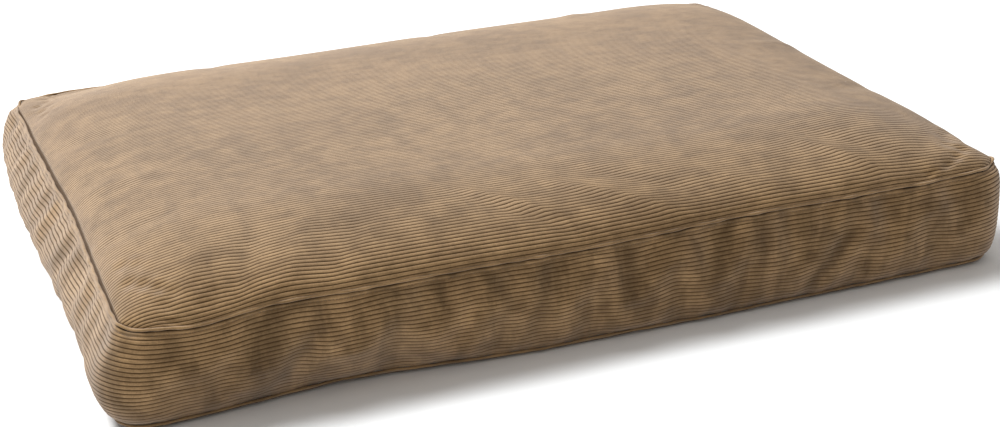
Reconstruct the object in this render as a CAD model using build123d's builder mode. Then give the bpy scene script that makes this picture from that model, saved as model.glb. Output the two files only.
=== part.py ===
"""Rectangular box-sided pet cushion bed with a zipped corduroy cover over a filled inner cushion.

Units are millimetres. The origin is the middle of the underside, +X runs along the bed's length,
+Y towards the back border, which holds the zip, and +Z up.
"""

from build123d import *
from math import cos, radians, sin
import os

# Overall sizes, measured along the top seam
bed_length = 1000.0
bed_depth = 720.0
border_height = 100.0
crown_rise = 46.0
crown_run = 160.0
seam_corner_radius = 30.0
corner_spread = 0.6  # how much the corner radius grows per millimetre of inset on the crown
crown_step_deg = 10
border_bulge = 14.0
base_tuck = 12.0
base_rim_rise = 5.0
base_rim_run = 20.0

# Cloth, thread and clearances
corduroy = 1.6
lining = 0.6
thread_radius = 0.35
ply_gap = 0.3
touch_gap = 0.1
side_ease = 3.4
welt_height = 4.0
welt_proud = 1.5
topstitch_drop = 3.0
border_levels = 9

# Zip on the back border
join_inset = 25.0
join_width = 3.0
zip_opening = 11.0
zip_margin = 22.0
tape_width = 16.0
tape_thickness = 0.6
tape_tail = 12.0
chain_split = 1.4
coil_width = 2.5
coil_thickness = 2.2
stop_length = 3.0
stop_wall = 0.8
running_gap = 0.3

# Zip slider and pull tab
slider_length = 14.0
slider_plate = 1.1
slider_flange = 1.0
slider_round = 0.8  # share of the flange's thickness
wedge_width = 0.8
wedge_length = 5.0
bridge_width = 2.0
bridge_length = 9.0
bridge_wall = 1.0
pull_thickness = 1.4
pull_length = 28.0
pull_width = 7.0
pull_arm = 1.6
pull_round = 2.5

# Heights of the seams
base_seam = base_rim_rise
border_bottom = base_seam + welt_height
border_top = border_bottom + border_height
top_seam = border_top + welt_height

# How deep each layer lies inside the cover's outer face: (at the sides, at top and bottom)
cover_outside = (0.0, 0.0)
cover_inside = (corduroy, corduroy)
case_outside = (corduroy + side_ease, corduroy + ply_gap)
case_inside = (case_outside[0] + lining, case_outside[1] + lining)
fill_outside = (case_inside[0] + ply_gap, case_inside[1] + ply_gap)


def bulge_at(level):
    """Distance of the border's outer face outside the top seam line, at a height."""
    share = (level - base_seam) / (top_seam - base_seam)
    return border_bulge * 4 * share * (1 - share) - base_tuck * (1 - share)


def level_section(inset, level, radius):
    """Rounded rectangle at a height, inset from the top seam line."""
    with BuildSketch(Plane.XY.offset(level)) as section:
        RectangleRounded(bed_length - 2 * inset, bed_depth - 2 * inset, radius)
    return section.sketch


def border_section(level, side):
    inset = side - bulge_at(level)
    return level_section(inset, level, seam_corner_radius - inset)


def base_sections(layer):
    """From the flat underside up to the base seam."""
    side, depth = layer
    floor_inset = base_tuck + base_rim_run + side
    rise = base_seam - depth
    middle_inset = base_tuck + side + base_rim_run * (1 - sin(radians(45)))
    middle_level = base_seam - rise * sin(radians(45))
    return [
        level_section(floor_inset, depth, seam_corner_radius),
        level_section(middle_inset, middle_level, seam_corner_radius),
        border_section(base_seam, side),
    ]


def border_sections(layer):
    side, _ = layer
    step = border_height / (border_levels - 1)
    return [border_section(border_bottom + step * i, side) for i in range(border_levels)]


def crown_sections(layer):
    """From the top seam up a quarter ellipse to the flat of the top."""
    side, depth = layer
    sections = []
    for angle in range(0, 91, crown_step_deg):
        run = crown_run * (1 - cos(radians(angle)))
        level = top_seam + (crown_rise - depth) * sin(radians(angle))
        radius = seam_corner_radius - side + corner_spread * run
        sections.append(level_section(run + side, level, radius))
    return sections


def strip_profile(plane, low, high, outer, inner):
    """Cross-section of cloth that follows the border between two heights and two depths."""
    middle = (low + high) / 2
    with BuildSketch(plane) as profile:
        with BuildLine():
            outside = ThreePointArc(*[(bulge_at(z) - outer, z) for z in (low, middle, high)])
            inside = ThreePointArc(*[(bulge_at(z) - inner, z) for z in (low, middle, high)])
            Line(outside @ 0, inside @ 0)
            Line(outside @ 1, inside @ 1)
        make_face()
    return profile.sketch


def back_plane(x):
    """Upright plane across the back border: sketch x points out of the bed, sketch y up."""
    return Plane(origin=(x, bed_depth / 2, 0), x_dir=(0, 1, 0), z_dir=(1, 0, 0))


def welt_profile(plane, low, high):
    """Folded seam ridge with a rounded outer side."""
    with BuildSketch(plane) as profile:
        with BuildLine():
            Polyline(
                (bulge_at(low) - corduroy, low),
                (max(bulge_at(low), bulge_at(high)) + welt_proud, low),
                (max(bulge_at(low), bulge_at(high)) + welt_proud, high),
                (bulge_at(high) - corduroy, high),
                close=True,
            )
        make_face()
        fillet(profile.vertices().group_by(Axis.Y)[-1], radius=(high - low) * 0.4)
    return profile.sketch


def thread_profile(plane, level):
    """Round thread that lies on the border's outer face."""
    with BuildSketch(plane) as profile:
        with Locations((bulge_at(level) + ply_gap + thread_radius, level)):
            Circle(thread_radius)
    return profile.sketch


# The long border strip runs round the front between its two joins, a little way along the back
join_x = bed_length / 2 - seam_corner_radius - join_inset
with BuildLine() as strip_run:
    FilletPolyline(
        (join_x, bed_depth / 2),
        (bed_length / 2, bed_depth / 2),
        (bed_length / 2, -bed_depth / 2),
        (-bed_length / 2, -bed_depth / 2),
        (-bed_length / 2, bed_depth / 2),
        (-join_x, bed_depth / 2),
        radius=seam_corner_radius,
    )

# The same line closed along the back, for seams that go all the way round
with BuildLine() as seam_loop:
    add(strip_run.line)
    Line((-join_x, bed_depth / 2), (join_x, bed_depth / 2))
seam_start = back_plane(join_x)

# ---- Inner cushion: loose fibre in a lining case ----
with BuildPart() as fibre_fill:
    loft(
        base_sections(fill_outside) + border_sections(fill_outside) + crown_sections(fill_outside),
        ruled=True,
    )

with BuildPart() as inner_case_top:
    loft(crown_sections(case_outside), ruled=True)
    loft(crown_sections(case_inside), ruled=True, mode=Mode.SUBTRACT)

with BuildPart() as inner_case_base:
    loft(base_sections(case_outside), ruled=True)
    loft(base_sections(case_inside), ruled=True, mode=Mode.SUBTRACT)

with BuildPart() as inner_case_border:
    sweep(
        strip_profile(seam_start, base_seam, top_seam, case_outside[0], case_inside[0]),
        path=seam_loop.line,
    )

# ---- Corduroy cover ----
with BuildPart() as cover_top_panel:
    loft(crown_sections(cover_outside), ruled=True)
    loft(crown_sections(cover_inside), ruled=True, mode=Mode.SUBTRACT)

with BuildPart() as cover_base_panel:
    loft(base_sections(cover_outside), ruled=True)
    loft(base_sections(cover_inside), ruled=True, mode=Mode.SUBTRACT)

with BuildPart() as border_strip:
    sweep(
        strip_profile(seam_start, border_bottom, border_top, 0, corduroy),
        path=strip_run.line,
    )

# ---- Seams of the cover ----
with BuildPart() as top_seam_welt:
    sweep(welt_profile(seam_start, border_top, top_seam), path=seam_loop.line)

with BuildPart() as base_seam_welt:
    sweep(welt_profile(seam_start, base_seam, border_bottom), path=seam_loop.line)

with BuildPart() as top_topstitching:
    sweep(thread_profile(seam_start, border_top - topstitch_drop), path=seam_loop.line)

with BuildPart() as base_topstitching:
    sweep(thread_profile(seam_start, border_bottom + topstitch_drop), path=seam_loop.line)

# ---- Back border in two halves, with the zip where the border bulges most ----
zip_level = base_seam + (top_seam - base_seam) * (0.5 + base_tuck / (8 * border_bulge))
zip_face = bulge_at(zip_level)
back_half = join_x - join_width
upper_fold = zip_level + zip_opening / 2
lower_fold = zip_level - zip_opening / 2

with BuildPart() as zip_border_upper:
    extrude(
        strip_profile(back_plane(-back_half), upper_fold, border_top, 0, corduroy),
        amount=2 * back_half,
    )

with BuildPart() as zip_border_lower:
    extrude(
        strip_profile(back_plane(-back_half), border_bottom, lower_fold, 0, corduroy),
        amount=2 * back_half,
    )

# Folded allowances that join the long strip to the zipped back, one at each end
with BuildPart() as border_join_seams:
    for start in (-join_x, back_half):
        extrude(
            strip_profile(back_plane(start), border_bottom, border_top, 0, corduroy),
            amount=join_width,
        )

tape_front = corduroy + touch_gap
tape_back = tape_front + tape_thickness
chain_half = back_half - zip_margin
tape_half = chain_half + tape_tail

with BuildPart() as zip_tape_upper:
    extrude(
        strip_profile(
            back_plane(-tape_half),
            zip_level + chain_split / 2,
            zip_level + tape_width,
            tape_front,
            tape_back,
        ),
        amount=2 * tape_half,
    )

with BuildPart() as zip_tape_lower:
    extrude(
        strip_profile(
            back_plane(-tape_half),
            zip_level - tape_width,
            zip_level - chain_split / 2,
            tape_front,
            tape_back,
        ),
        amount=2 * tape_half,
    )

coil_floor = zip_face - tape_front + touch_gap
coil_centre = (chain_split + coil_width) / 2


def coil_bar(side):
    """Plain bar of a coil's outer size, on the upper tape for side 1 or the lower for -1."""
    with BuildSketch(back_plane(-chain_half)) as profile:
        with Locations((coil_floor + coil_thickness / 2, zip_level + side * coil_centre)):
            RectangleRounded(coil_thickness, coil_width, coil_thickness / 3)
    return profile.sketch


with BuildPart() as zip_coil_upper:
    extrude(coil_bar(1), amount=2 * chain_half)

with BuildPart() as zip_coil_lower:
    extrude(coil_bar(-1), amount=2 * chain_half)

# Thread lines that hold the tapes to the folded edges
fold_stitch = (zip_level + tape_width + upper_fold) / 2 - zip_level

with BuildPart() as zip_topstitching_upper:
    extrude(thread_profile(back_plane(-tape_half), zip_level + fold_stitch), amount=2 * tape_half)

with BuildPart() as zip_topstitching_lower:
    extrude(thread_profile(back_plane(-tape_half), zip_level - fold_stitch), amount=2 * tape_half)

# Stops: one clip on each tape at the closed end, one across both at the other
stop_depth = coil_thickness + stop_wall
stop_height = coil_width + stop_wall

with BuildPart() as zip_top_stops:
    with BuildSketch(back_plane(chain_half + touch_gap)) as clips:
        with Locations(
            (coil_floor + stop_depth / 2, zip_level + coil_centre + stop_wall / 2),
            (coil_floor + stop_depth / 2, zip_level - coil_centre - stop_wall / 2),
        ):
            RectangleRounded(stop_depth, stop_height, stop_wall)
    extrude(amount=stop_length)

with BuildPart() as zip_bottom_stop:
    with BuildSketch(back_plane(-chain_half - touch_gap - stop_length)) as clip:
        with Locations((coil_floor + stop_depth / 2, zip_level)):
            RectangleRounded(stop_depth, 2 * coil_centre + stop_height, stop_wall)
    extrude(amount=stop_length)

# ---- Zip slider, parked at the closed end ----
slider_end = chain_half - running_gap
slider_start = slider_end - slider_length
slider_middle = (slider_start + slider_end) / 2
plate_floor = coil_floor + coil_thickness + running_gap
plate_top = plate_floor + slider_plate
tunnel_half = coil_centre + coil_width / 2 + running_gap
slider_half = tunnel_half + slider_flange
flange_middle = tunnel_half + slider_flange / 2
lower_plate_top = zip_face - tape_back - running_gap
lower_plate_bottom = lower_plate_top - slider_plate
flange_floor = zip_face - tape_front + running_gap
bar_radius = pull_thickness / 2
pivot_height = plate_top + running_gap + bar_radius
bridge_under = pivot_height + bar_radius + running_gap
bridge_top = bridge_under + bridge_wall

with BuildPart() as zip_slider_body:
    with BuildSketch(back_plane(slider_start)) as plates:
        for low, high in ((plate_floor, plate_top), (lower_plate_bottom, lower_plate_top)):
            with Locations(((low + high) / 2, zip_level)):
                Rectangle(high - low, 2 * slider_half)
        for side in (1, -1):
            with Locations(((flange_floor + plate_floor) / 2, zip_level + side * flange_middle)):
                Rectangle(plate_floor - flange_floor, slider_flange)
    extrude(amount=slider_length)
    corners = zip_slider_body.edges().filter_by(Axis.Y)
    outer_corners = corners.filter_by(lambda e: abs(e.center().Z - zip_level) > flange_middle)
    fillet(outer_corners, radius=slider_flange * slider_round)
    with BuildSketch(back_plane(slider_end - wedge_length)) as wedge:
        with Locations(((lower_plate_bottom + plate_floor) / 2, zip_level)):
            Rectangle(plate_floor - lower_plate_bottom, wedge_width)
    extrude(amount=wedge_length)
    with BuildSketch(Plane.XY.offset(zip_level - bridge_width / 2)) as bridge:
        with Locations((slider_middle, bed_depth / 2 + (plate_top + bridge_top) / 2)):
            Rectangle(bridge_length, bridge_top - plate_top)
        fillet(bridge.vertices().group_by(Axis.Y)[-1], radius=bridge_wall * 1.4)
        with Locations((slider_middle, bed_depth / 2 + (plate_top + bridge_under) / 2)):
            Rectangle(
                bridge_length - 2 * bridge_wall, bridge_under - plate_top, mode=Mode.SUBTRACT
            )
    extrude(amount=bridge_width)

# ---- Pull tab: its end bar turns under the slider's bridge ----
pull_window_half = bridge_width / 2 + running_gap
arm_half = pull_window_half + pull_arm
window_length = bridge_length / 2 + running_gap * 2
grip_start = window_length - pull_round
pull_face = bed_depth / 2 + pivot_height

with BuildPart() as zip_pull_tab:
    front = Plane(origin=(slider_middle, pull_face, zip_level), x_dir=(-1, 0, 0), z_dir=(0, 1, 0))
    with BuildSketch(front) as outline:
        with Locations((window_length / 2, 0)):
            Rectangle(window_length, 2 * arm_half)
        with Locations(((grip_start + pull_length) / 2, 0)):
            RectangleRounded(pull_length - grip_start, pull_width, pull_round)
        with Locations((window_length / 2, 0)):
            Rectangle(window_length, 2 * pull_window_half, mode=Mode.SUBTRACT)
    extrude(amount=bar_radius, both=True)
    with BuildSketch(Plane.XY.offset(zip_level - arm_half)) as bar:
        with Locations((slider_middle, pull_face)):
            Circle(bar_radius)
    extrude(amount=2 * arm_half)

parts = {
    "fibre_fill": fibre_fill,
    "inner_case_top": inner_case_top,
    "inner_case_base": inner_case_base,
    "inner_case_border": inner_case_border,
    "cover_top_panel": cover_top_panel,
    "cover_base_panel": cover_base_panel,
    "border_strip": border_strip,
    "top_seam_welt": top_seam_welt,
    "base_seam_welt": base_seam_welt,
    "top_topstitching": top_topstitching,
    "base_topstitching": base_topstitching,
    "zip_border_upper": zip_border_upper,
    "zip_border_lower": zip_border_lower,
    "border_join_seams": border_join_seams,
    "zip_tape_upper": zip_tape_upper,
    "zip_tape_lower": zip_tape_lower,
    "zip_coil_upper": zip_coil_upper,
    "zip_coil_lower": zip_coil_lower,
    "zip_topstitching_upper": zip_topstitching_upper,
    "zip_topstitching_lower": zip_topstitching_lower,
    "zip_top_stops": zip_top_stops,
    "zip_bottom_stop": zip_bottom_stop,
    "zip_slider_body": zip_slider_body,
    "zip_pull_tab": zip_pull_tab,
}

os.makedirs("parts", exist_ok=True)
for name, piece in parts.items():
    piece.part.label = name
    export_step(piece.part, f"parts/{name}.step")
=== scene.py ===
# %% [markdown]
# # A pet cushion bed in wide-rib corduroy
# The bed is a cover of corduroy over a filled inner cushion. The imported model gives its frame:
# where the seams run, how high the top is puffed and where the zip lies. This lesson dresses
# that frame in cloth, cell by cell, and leaves every size where the frame puts it.

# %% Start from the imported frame
import math
import bpy
import numpy as np
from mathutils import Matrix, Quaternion, Vector


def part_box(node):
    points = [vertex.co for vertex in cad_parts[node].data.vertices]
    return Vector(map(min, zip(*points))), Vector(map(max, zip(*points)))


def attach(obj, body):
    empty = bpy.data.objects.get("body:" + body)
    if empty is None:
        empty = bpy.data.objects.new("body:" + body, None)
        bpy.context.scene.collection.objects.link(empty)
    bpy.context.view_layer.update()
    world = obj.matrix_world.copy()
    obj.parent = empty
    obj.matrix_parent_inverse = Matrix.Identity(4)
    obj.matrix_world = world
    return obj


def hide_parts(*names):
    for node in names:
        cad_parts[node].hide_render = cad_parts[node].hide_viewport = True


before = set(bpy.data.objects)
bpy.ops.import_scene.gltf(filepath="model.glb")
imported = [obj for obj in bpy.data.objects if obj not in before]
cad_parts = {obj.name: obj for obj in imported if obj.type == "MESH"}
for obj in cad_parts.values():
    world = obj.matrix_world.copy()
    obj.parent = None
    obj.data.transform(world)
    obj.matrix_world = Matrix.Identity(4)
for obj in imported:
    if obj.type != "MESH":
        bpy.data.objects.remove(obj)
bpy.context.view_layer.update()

# %% [markdown]
# All the places that the cloth needs come from the boxes of the CAD pieces: the top panel's box
# starts at the top seam, the base panel's box ends at the base seam, and the border strip's box
# is as wide as the bed at its fullest. Lengths are in metres.

# %% Sizes read from the frame
MM = 0.001
top_low, top_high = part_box("cover_top_panel")
_, base_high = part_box("cover_base_panel")
_, strip_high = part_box("border_strip")
welt_low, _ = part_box("top_seam_welt")
half_length = top_high.x
half_depth = top_high.y
top_seam = (top_low.z + welt_low.z) / 2
base_seam = base_high.z + 1 * MM
crown_rise = top_high.z - top_low.z
base_tuck = half_length - base_high.x
fullest = strip_high.x - half_length
seam_radius = 30 * MM
crown_run = 160 * MM
RIM_RUN = 20 * MM
CROWN_FADE = 2.5
border_height = top_seam - base_seam
print(f"top seam {top_seam:.4f}, base seam {base_seam:.4f}, crown {crown_rise:.3f}")


# %% [markdown]
# A corduroy panel is cut flat and its ribs stay parallel, so every surface here is a grid whose
# rows follow the ribs. Row after row of a rounded rectangle, the left and right ends slide in
# where the corners are round, and the ribs stay straight in the flat cloth.

# %% Rounded rectangle, row by row
def half_width(across, half_long, half_wide, radius):
    """Half the length of a rounded rectangle, measured at a place across it."""
    past = np.clip(np.abs(across) - (half_wide - radius), 0, radius)
    return half_long - radius + np.sqrt(radius**2 - past**2)


def edge_rows(half_wide, radius, spacing):
    """Rows across the panel: four follow each round corner, the rest are even."""
    corner = radius * (1 - np.cos(np.radians([0, 22.5, 45, 67.5])))
    inner = half_wide - radius
    middle = np.linspace(-inner, inner, int(round(2 * inner / spacing)) + 1)
    return np.concatenate([corner - half_wide, middle, (half_wide - corner)[::-1]])


def swell(distance):
    """Share of the crown's height at a distance in from a seam: a quarter ellipse."""
    short = 1 - np.clip(distance / crown_run, 0, 1)
    return np.sqrt(1 - short**2)


def top_rest(share, across):
    """Top panel before the cloth is simulated; share runs from -1 to 1 along each row."""
    reach = half_width(across, half_length, half_depth, seam_radius)
    along = share * reach
    side = half_width(along, half_depth, half_length, seam_radius)
    rise = crown_rise * swell(reach - np.abs(along)) * swell(side - np.abs(across))
    return np.stack([along, across + 0 * along, top_seam + rise], axis=-1)


def base_rest(share, across_top):
    """Underside: the same rows drawn in by the tuck, flat but for a rim that rises to the seam."""
    across = across_top * (half_depth - base_tuck) / half_depth
    radius = seam_radius
    reach = half_width(across, half_length - base_tuck, half_depth - base_tuck, radius)
    along = share * reach
    side = half_width(along, half_depth - base_tuck, half_length - base_tuck, radius)
    inset = np.minimum(reach - np.abs(along), side - np.abs(across))
    rim = 1 - np.sqrt(1 - (1 - np.clip(inset / RIM_RUN, 0, 1)) ** 2)
    return np.stack([along, across + 0 * along, base_seam * rim], axis=-1)


# %% [markdown]
# The border stands between the two seams. Its foot is tucked in under the bed and its middle
# bulges, because the filling pushes it out. The same loop of points is used for the top panel's
# edge, the border and the base panel's edge, so the cage is sewn shut all round.

# %% The cage of the whole cushion
COLUMNS = 84
LEVELS = 10
rows = edge_rows(half_depth, seam_radius, 12 * MM)
shares = np.linspace(-1, 1, COLUMNS + 1)


def loop_of(grid):
    """Edge points of a panel's grid, in order: front, right, back, left."""
    return np.concatenate([grid[0, :-1], grid[:-1, -1], grid[-1, :0:-1], grid[:0:-1, 0]])


def outward(loop):
    """Level directions that point out of the bed, from the loop's own tangents."""
    along = np.roll(loop, -1, axis=0) - np.roll(loop, 1, axis=0)
    out = np.stack([along[:, 1], -along[:, 0], 0 * along[:, 0]], axis=-1)
    return out / np.linalg.norm(out, axis=1, keepdims=True)


def border_rest(upper, lower, height_share):
    """Border between the two seam loops at shares of its height, 0 at the foot."""
    lift = height_share[:, None, None]
    bulge = (fullest + base_tuck / 2) * 4 * lift * (1 - lift)
    return lower + (upper - lower) * lift + outward(upper) * bulge


top_cage = top_rest(shares[None, :], rows[:, None])
base_cage = base_rest(shares[None, :], rows[:, None])
border_cage = border_rest(loop_of(top_cage), loop_of(base_cage), np.linspace(0, 1, LEVELS + 1))
print("cage", top_cage.shape, border_cage.shape)

# %% [markdown]
# The cage becomes one closed mesh for the Cloth modifier. Each grid point gets a vertex number,
# and the border's first and last rows reuse the numbers of the panels' edges.

# %% Numbers for the cage's vertices
top_ids = np.arange(top_cage[..., 0].size).reshape(top_cage.shape[:2])
base_ids = top_ids + top_ids.size
wall_count = border_cage.shape[1]
wall_ids = np.arange((LEVELS - 1) * wall_count).reshape(LEVELS - 1, wall_count) + 2 * top_ids.size
border_ids = np.vstack([loop_of(base_ids)[None], wall_ids, loop_of(top_ids)[None]])
cage_points = np.concatenate(
    [top_cage.reshape(-1, 3), base_cage.reshape(-1, 3), border_cage[1:-1].reshape(-1, 3)]
)


def quads(ids, closed=False):
    """Faces of a grid of vertex numbers; closed joins the last column to the first."""
    right = np.roll(ids, -1, axis=1) if closed else ids[:, 1:]
    left = ids if closed else ids[:, :-1]
    return np.stack([left[:-1], right[:-1], right[1:], left[1:]], axis=-1).reshape(-1, 4)


def make_mesh(name, points, faces, uv=None):
    """A new mesh object from arrays, with its UV map if one is given."""
    mesh = bpy.data.meshes.new(name)
    face_list = faces if isinstance(faces, list) else faces.tolist()
    mesh.from_pydata(points.reshape(-1, 3).tolist(), [], face_list)
    if uv is not None:
        layer = mesh.uv_layers.new(name="cloth")
        layer.data.foreach_set("uv", uv.reshape(-1, 2)[faces.reshape(-1)].ravel())
    mesh.polygons.foreach_set("use_smooth", [True] * len(mesh.polygons))
    mesh.update()
    piece = bpy.data.objects.new(name, mesh)
    bpy.context.scene.collection.objects.link(piece)
    return piece


cage_faces = np.concatenate([quads(top_ids), quads(base_ids)[:, ::-1], quads(border_ids, True)])
print("cage mesh", len(cage_points), "vertices,", len(cage_faces), "faces")


# %% [markdown]
# Pressure inside the closed cage stands for the filling, and a soft pull towards the rest shape
# stands for the fibre's own spring. The seams are drawn up by their stitches while the border
# has a little spare cloth, and that difference is what puckers it. The middle of the underside
# is pinned, because it lies on the floor.

# %% Simulate the stuffed cover
WALL_HOLD, TOP_HOLD, BASE_HOLD, PINNED = 0.32, 0.5, 0.6, 1
CLOTH_DRAW, TOP_SEAM_DRAW, BASE_SEAM_DRAW = 0.6, 1, 0.7
PINNED_INSET = 30 * MM
LONG_RIPPLE = 1.2 * MM
CROSS_RIPPLE = 1.0 * MM
CLOTH_SETTINGS = {
    "quality": 6, "mass": 0.35, "tension_stiffness": 25, "compression_stiffness": 25,
    "shear_stiffness": 8, "bending_stiffness": 6, "use_pressure": True,
    "uniform_pressure_force": 0.4, "vertex_group_mass": "hold",
    "vertex_group_shrink": "draw_up", "shrink_min": -0.06, "shrink_max": 0.04,
}


def weigh(piece, name, weights):
    """A vertex group from one weight for each vertex."""
    group = piece.vertex_groups.new(name=name)
    for weight in np.unique(weights):
        group.add(np.nonzero(weights == weight)[0].tolist(), float(weight), "REPLACE")


def relax_cage(points, frames=30):
    """Cloth simulation of the cage; returns how far each point moved."""
    wall = np.isin(np.arange(len(points)), wall_ids)
    ripple = LONG_RIPPLE * np.sin(points[:, 0] * 61 + 3 * np.sin(points[:, 1] * 47))
    ripple += CROSS_RIPPLE * np.sin(points[:, 1] * 83 + 2 * np.sin(points[:, 0] * 39) + 1)
    start = points.copy()
    start[:, 2] += ripple * wall
    cage = make_mesh("cage", start, cage_faces)
    hold = np.full(len(points), WALL_HOLD)
    hold[top_ids] = TOP_HOLD
    hold[base_ids] = BASE_HOLD
    inset = np.minimum(half_length - abs(points[:, 0]), half_depth - abs(points[:, 1]))
    hold[(points[:, 2] < base_seam / 2) & (inset > PINNED_INSET)] = PINNED
    weigh(cage, "hold", hold)
    draw_up = np.where(wall, 0.0, CLOTH_DRAW)
    draw_up[loop_of(top_ids)] = TOP_SEAM_DRAW
    draw_up[loop_of(base_ids)] = BASE_SEAM_DRAW
    weigh(cage, "draw_up", draw_up)
    cloth = cage.modifiers.new("Cloth", "CLOTH")
    for setting, value in CLOTH_SETTINGS.items():
        setattr(cloth.settings, setting, value)
    cloth.settings.effector_weights.gravity = 0
    cloth.collision_settings.use_collision = False
    for number in range(1, frames + 1):
        bpy.context.scene.frame_set(number)
    shaped = cage.evaluated_get(bpy.context.evaluated_depsgraph_get()).to_mesh()
    after = np.zeros(len(points) * 3)
    shaped.vertices.foreach_get("co", after)
    bpy.context.scene.frame_set(1)
    bpy.data.objects.remove(cage)
    return after.reshape(-1, 3) - points


moved = np.zeros_like(cage_points)
moved = relax_cage(cage_points)
distance = np.linalg.norm(moved, axis=1, keepdims=True)
LONGEST_MOVE = 12 * MM
moved *= np.minimum(1, LONGEST_MOVE / np.maximum(distance, 1e-9))
FOOT_CALM = 0.3
SEAM_CALM = 0.75
wall_share = np.clip((cage_points[:, 2] - base_seam) / border_height, 0, 1)
wall_calm = FOOT_CALM + (SEAM_CALM - FOOT_CALM) * wall_share
calm = np.where(np.isin(np.arange(len(moved)), wall_ids), wall_calm, 1)
moved *= calm[:, None]
print(f"cloth moved up to {distance.max() * 1000:.1f} mm")

# %% [markdown]
# A bed that has been sat in and shaken up is never quite square. These soft pushes, each fading
# out smoothly round its middle, give the cover its own stance: the left side leans out, the
# front seam sags beside the left corner, and the foot of the border runs out at the front.

# %% Shape the bed with listed pushes
PUSHES = (
    # middle x, y, z; reach x, y, z; push x, y, z, all in millimetres
    (-500, -10, 113, 45, 230, 32, 9, 0, 0),
    (500, 0, 113, 45, 230, 32, -11, 0, 0),
    (0, 360, 113, 330, 45, 28, 0, -6, 0),
    (-500, -20, 45, 40, 340, 42, -17, 0, 0),
    (-505, 200, 65, 40, 180, 45, -10, 0, 0),
    (-490, -345, 0, 70, 90, 45, -15, -5, 1),
    (-505, -300, 30, 40, 100, 50, -6, 0, 0),
    (0, -355, 0, 620, 40, 45, 0, -12, 0),
    (170, -355, 0, 190, 50, 45, 0, -6, 0),
    (-270, -355, 0, 120, 50, 45, 0, 14, 2),
    (400, -355, 0, 130, 50, 45, 0, -8, 0),
    (495, -345, 0, 60, 80, 45, 9, -5, 0),
    (500, -360, 113, 45, 45, 30, 6, 0, 5),
    (500, 0, 0, 60, 260, 45, 7, 0, 0),
    (-425, -360, 111, 42, 40, 45, 0, -1, -6),
    (-330, -360, 111, 38, 40, 45, 0, 0, 2),
    (-30, -360, 111, 90, 40, 45, 0, 0, -2),
    (180, -360, 111, 80, 40, 45, 0, 0, 2),
    (-500, 250, 111, 40, 50, 45, 3, 0, -3),
    (-500, 40, 111, 40, 60, 45, -2, 0, 1),
)


def hand_shaped(points):
    """Sum of the soft pushes at each point."""
    total = np.zeros(points.shape)
    for push in PUSHES:
        middle, reach, way = (np.array(push[i : i + 3]) * MM for i in (0, 3, 6))
        total += np.exp(-(((points - middle) / reach) ** 2).sum(axis=-1))[..., None] * way
    return total


moved = moved + hand_shaped(cage_points)

# %% [markdown]
# The simulation buckles the border into creases one cell wide, which is the cage's size and not
# the cloth's, so each column is averaged with its neighbours between the seams. The zip is stiff
# and keeps the back border straight, so the cloth's moves fade out round it.

# %% Soften the border and quiet its back
BEHIND_FROM, BEHIND_FADE = 25 * MM, 15 * MM
JOIN_INSET, JOIN_FADE = 18 * MM, 30 * MM
ZIP_CALM = 34 * MM


def soften(values):
    """Each column averaged with its two neighbours."""
    return (np.roll(values, 1, axis=1) + 2 * values + np.roll(values, -1, axis=1)) / 4


zip_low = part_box("zip_border_lower")[1].z
zip_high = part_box("zip_border_upper")[0].z
zip_level = (zip_low + zip_high) / 2
top_moved = moved[top_ids]
base_moved = moved[base_ids]
border_moved = moved[border_ids]
border_moved[1:-1] = soften(border_moved[1:-1])
behind = np.clip((border_cage[..., 1] - half_depth + BEHIND_FROM) / BEHIND_FADE, 0, 1)
inside_joins = np.clip((half_length - JOIN_INSET - abs(border_cage[..., 0])) / JOIN_FADE, 0, 1)
near_zip = np.exp(-(((border_cage[..., 2] - zip_level) / ZIP_CALM) ** 4))
border_moved = border_moved * (1 - behind * inside_joins * near_zip)[..., None]
border_shape = border_cage + border_moved


# %% [markdown]
# The cage is coarse, and the finished cloth has every rib as real geometry. Between the cage's
# points a cubic curve gives places that are as smooth as cloth.

# %% Smooth places between the cage's points
def between(values, knots, at):
    """Cubic curve through values at their knots, read at other places along the first axis."""
    spot = np.clip(np.searchsorted(knots, at, side="right") - 1, 0, len(knots) - 2)
    span = knots[spot + 1] - knots[spot]
    t = (at - knots[spot]) / span
    shape = (-1,) + (1,) * (values.ndim - 1)
    t, span = t.reshape(shape), span.reshape(shape)
    slope = np.gradient(values, knots, axis=0)
    return (
        (2 * t**3 - 3 * t**2 + 1) * values[spot]
        + (t**3 - 2 * t**2 + t) * span * slope[spot]
        + (3 * t**2 - 2 * t**3) * values[spot + 1]
        + (t**3 - t**2) * span * slope[spot + 1]
    )


def over_panel(moves, across, share):
    """A panel's moves, one for each cage point, spread over a finer grid of its cloth."""
    fine = between(moves, rows, across)
    return np.swapaxes(between(np.swapaxes(fine, 0, 1), shares, share), 0, 1)


loop = loop_of(top_cage)
steps = np.linalg.norm(np.roll(loop, -1, axis=0) - loop, axis=1)
loop_knots = np.concatenate([[0], np.cumsum(steps)])
girth = loop_knots[-1]
WRAP = 6
wide_knots = np.concatenate(
    [loop_knots[-WRAP - 1 : -1] - girth, loop_knots[:-1], loop_knots[: WRAP + 1] + girth]
)


def round_border(values, run, height):
    """Values of the cage's border, read at places along the seam and shares of its height."""
    wrapped = np.concatenate([values[:, -WRAP:], values, values[:, : WRAP + 1]], axis=1)
    level = between(wrapped, np.linspace(0, 1, LEVELS + 1), height)
    return np.swapaxes(between(np.swapaxes(level, 0, 1), wide_knots, run % girth), 0, 1)


print(f"girth at the seam {girth:.3f} m")

# %% [markdown]
# Wide-rib corduroy has rounded cords of pile with a narrow groove between them. Five rows of
# vertices draw each rib, and the grooves are cut below the cloth's face, so the crests stay
# where the frame has them.

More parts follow.
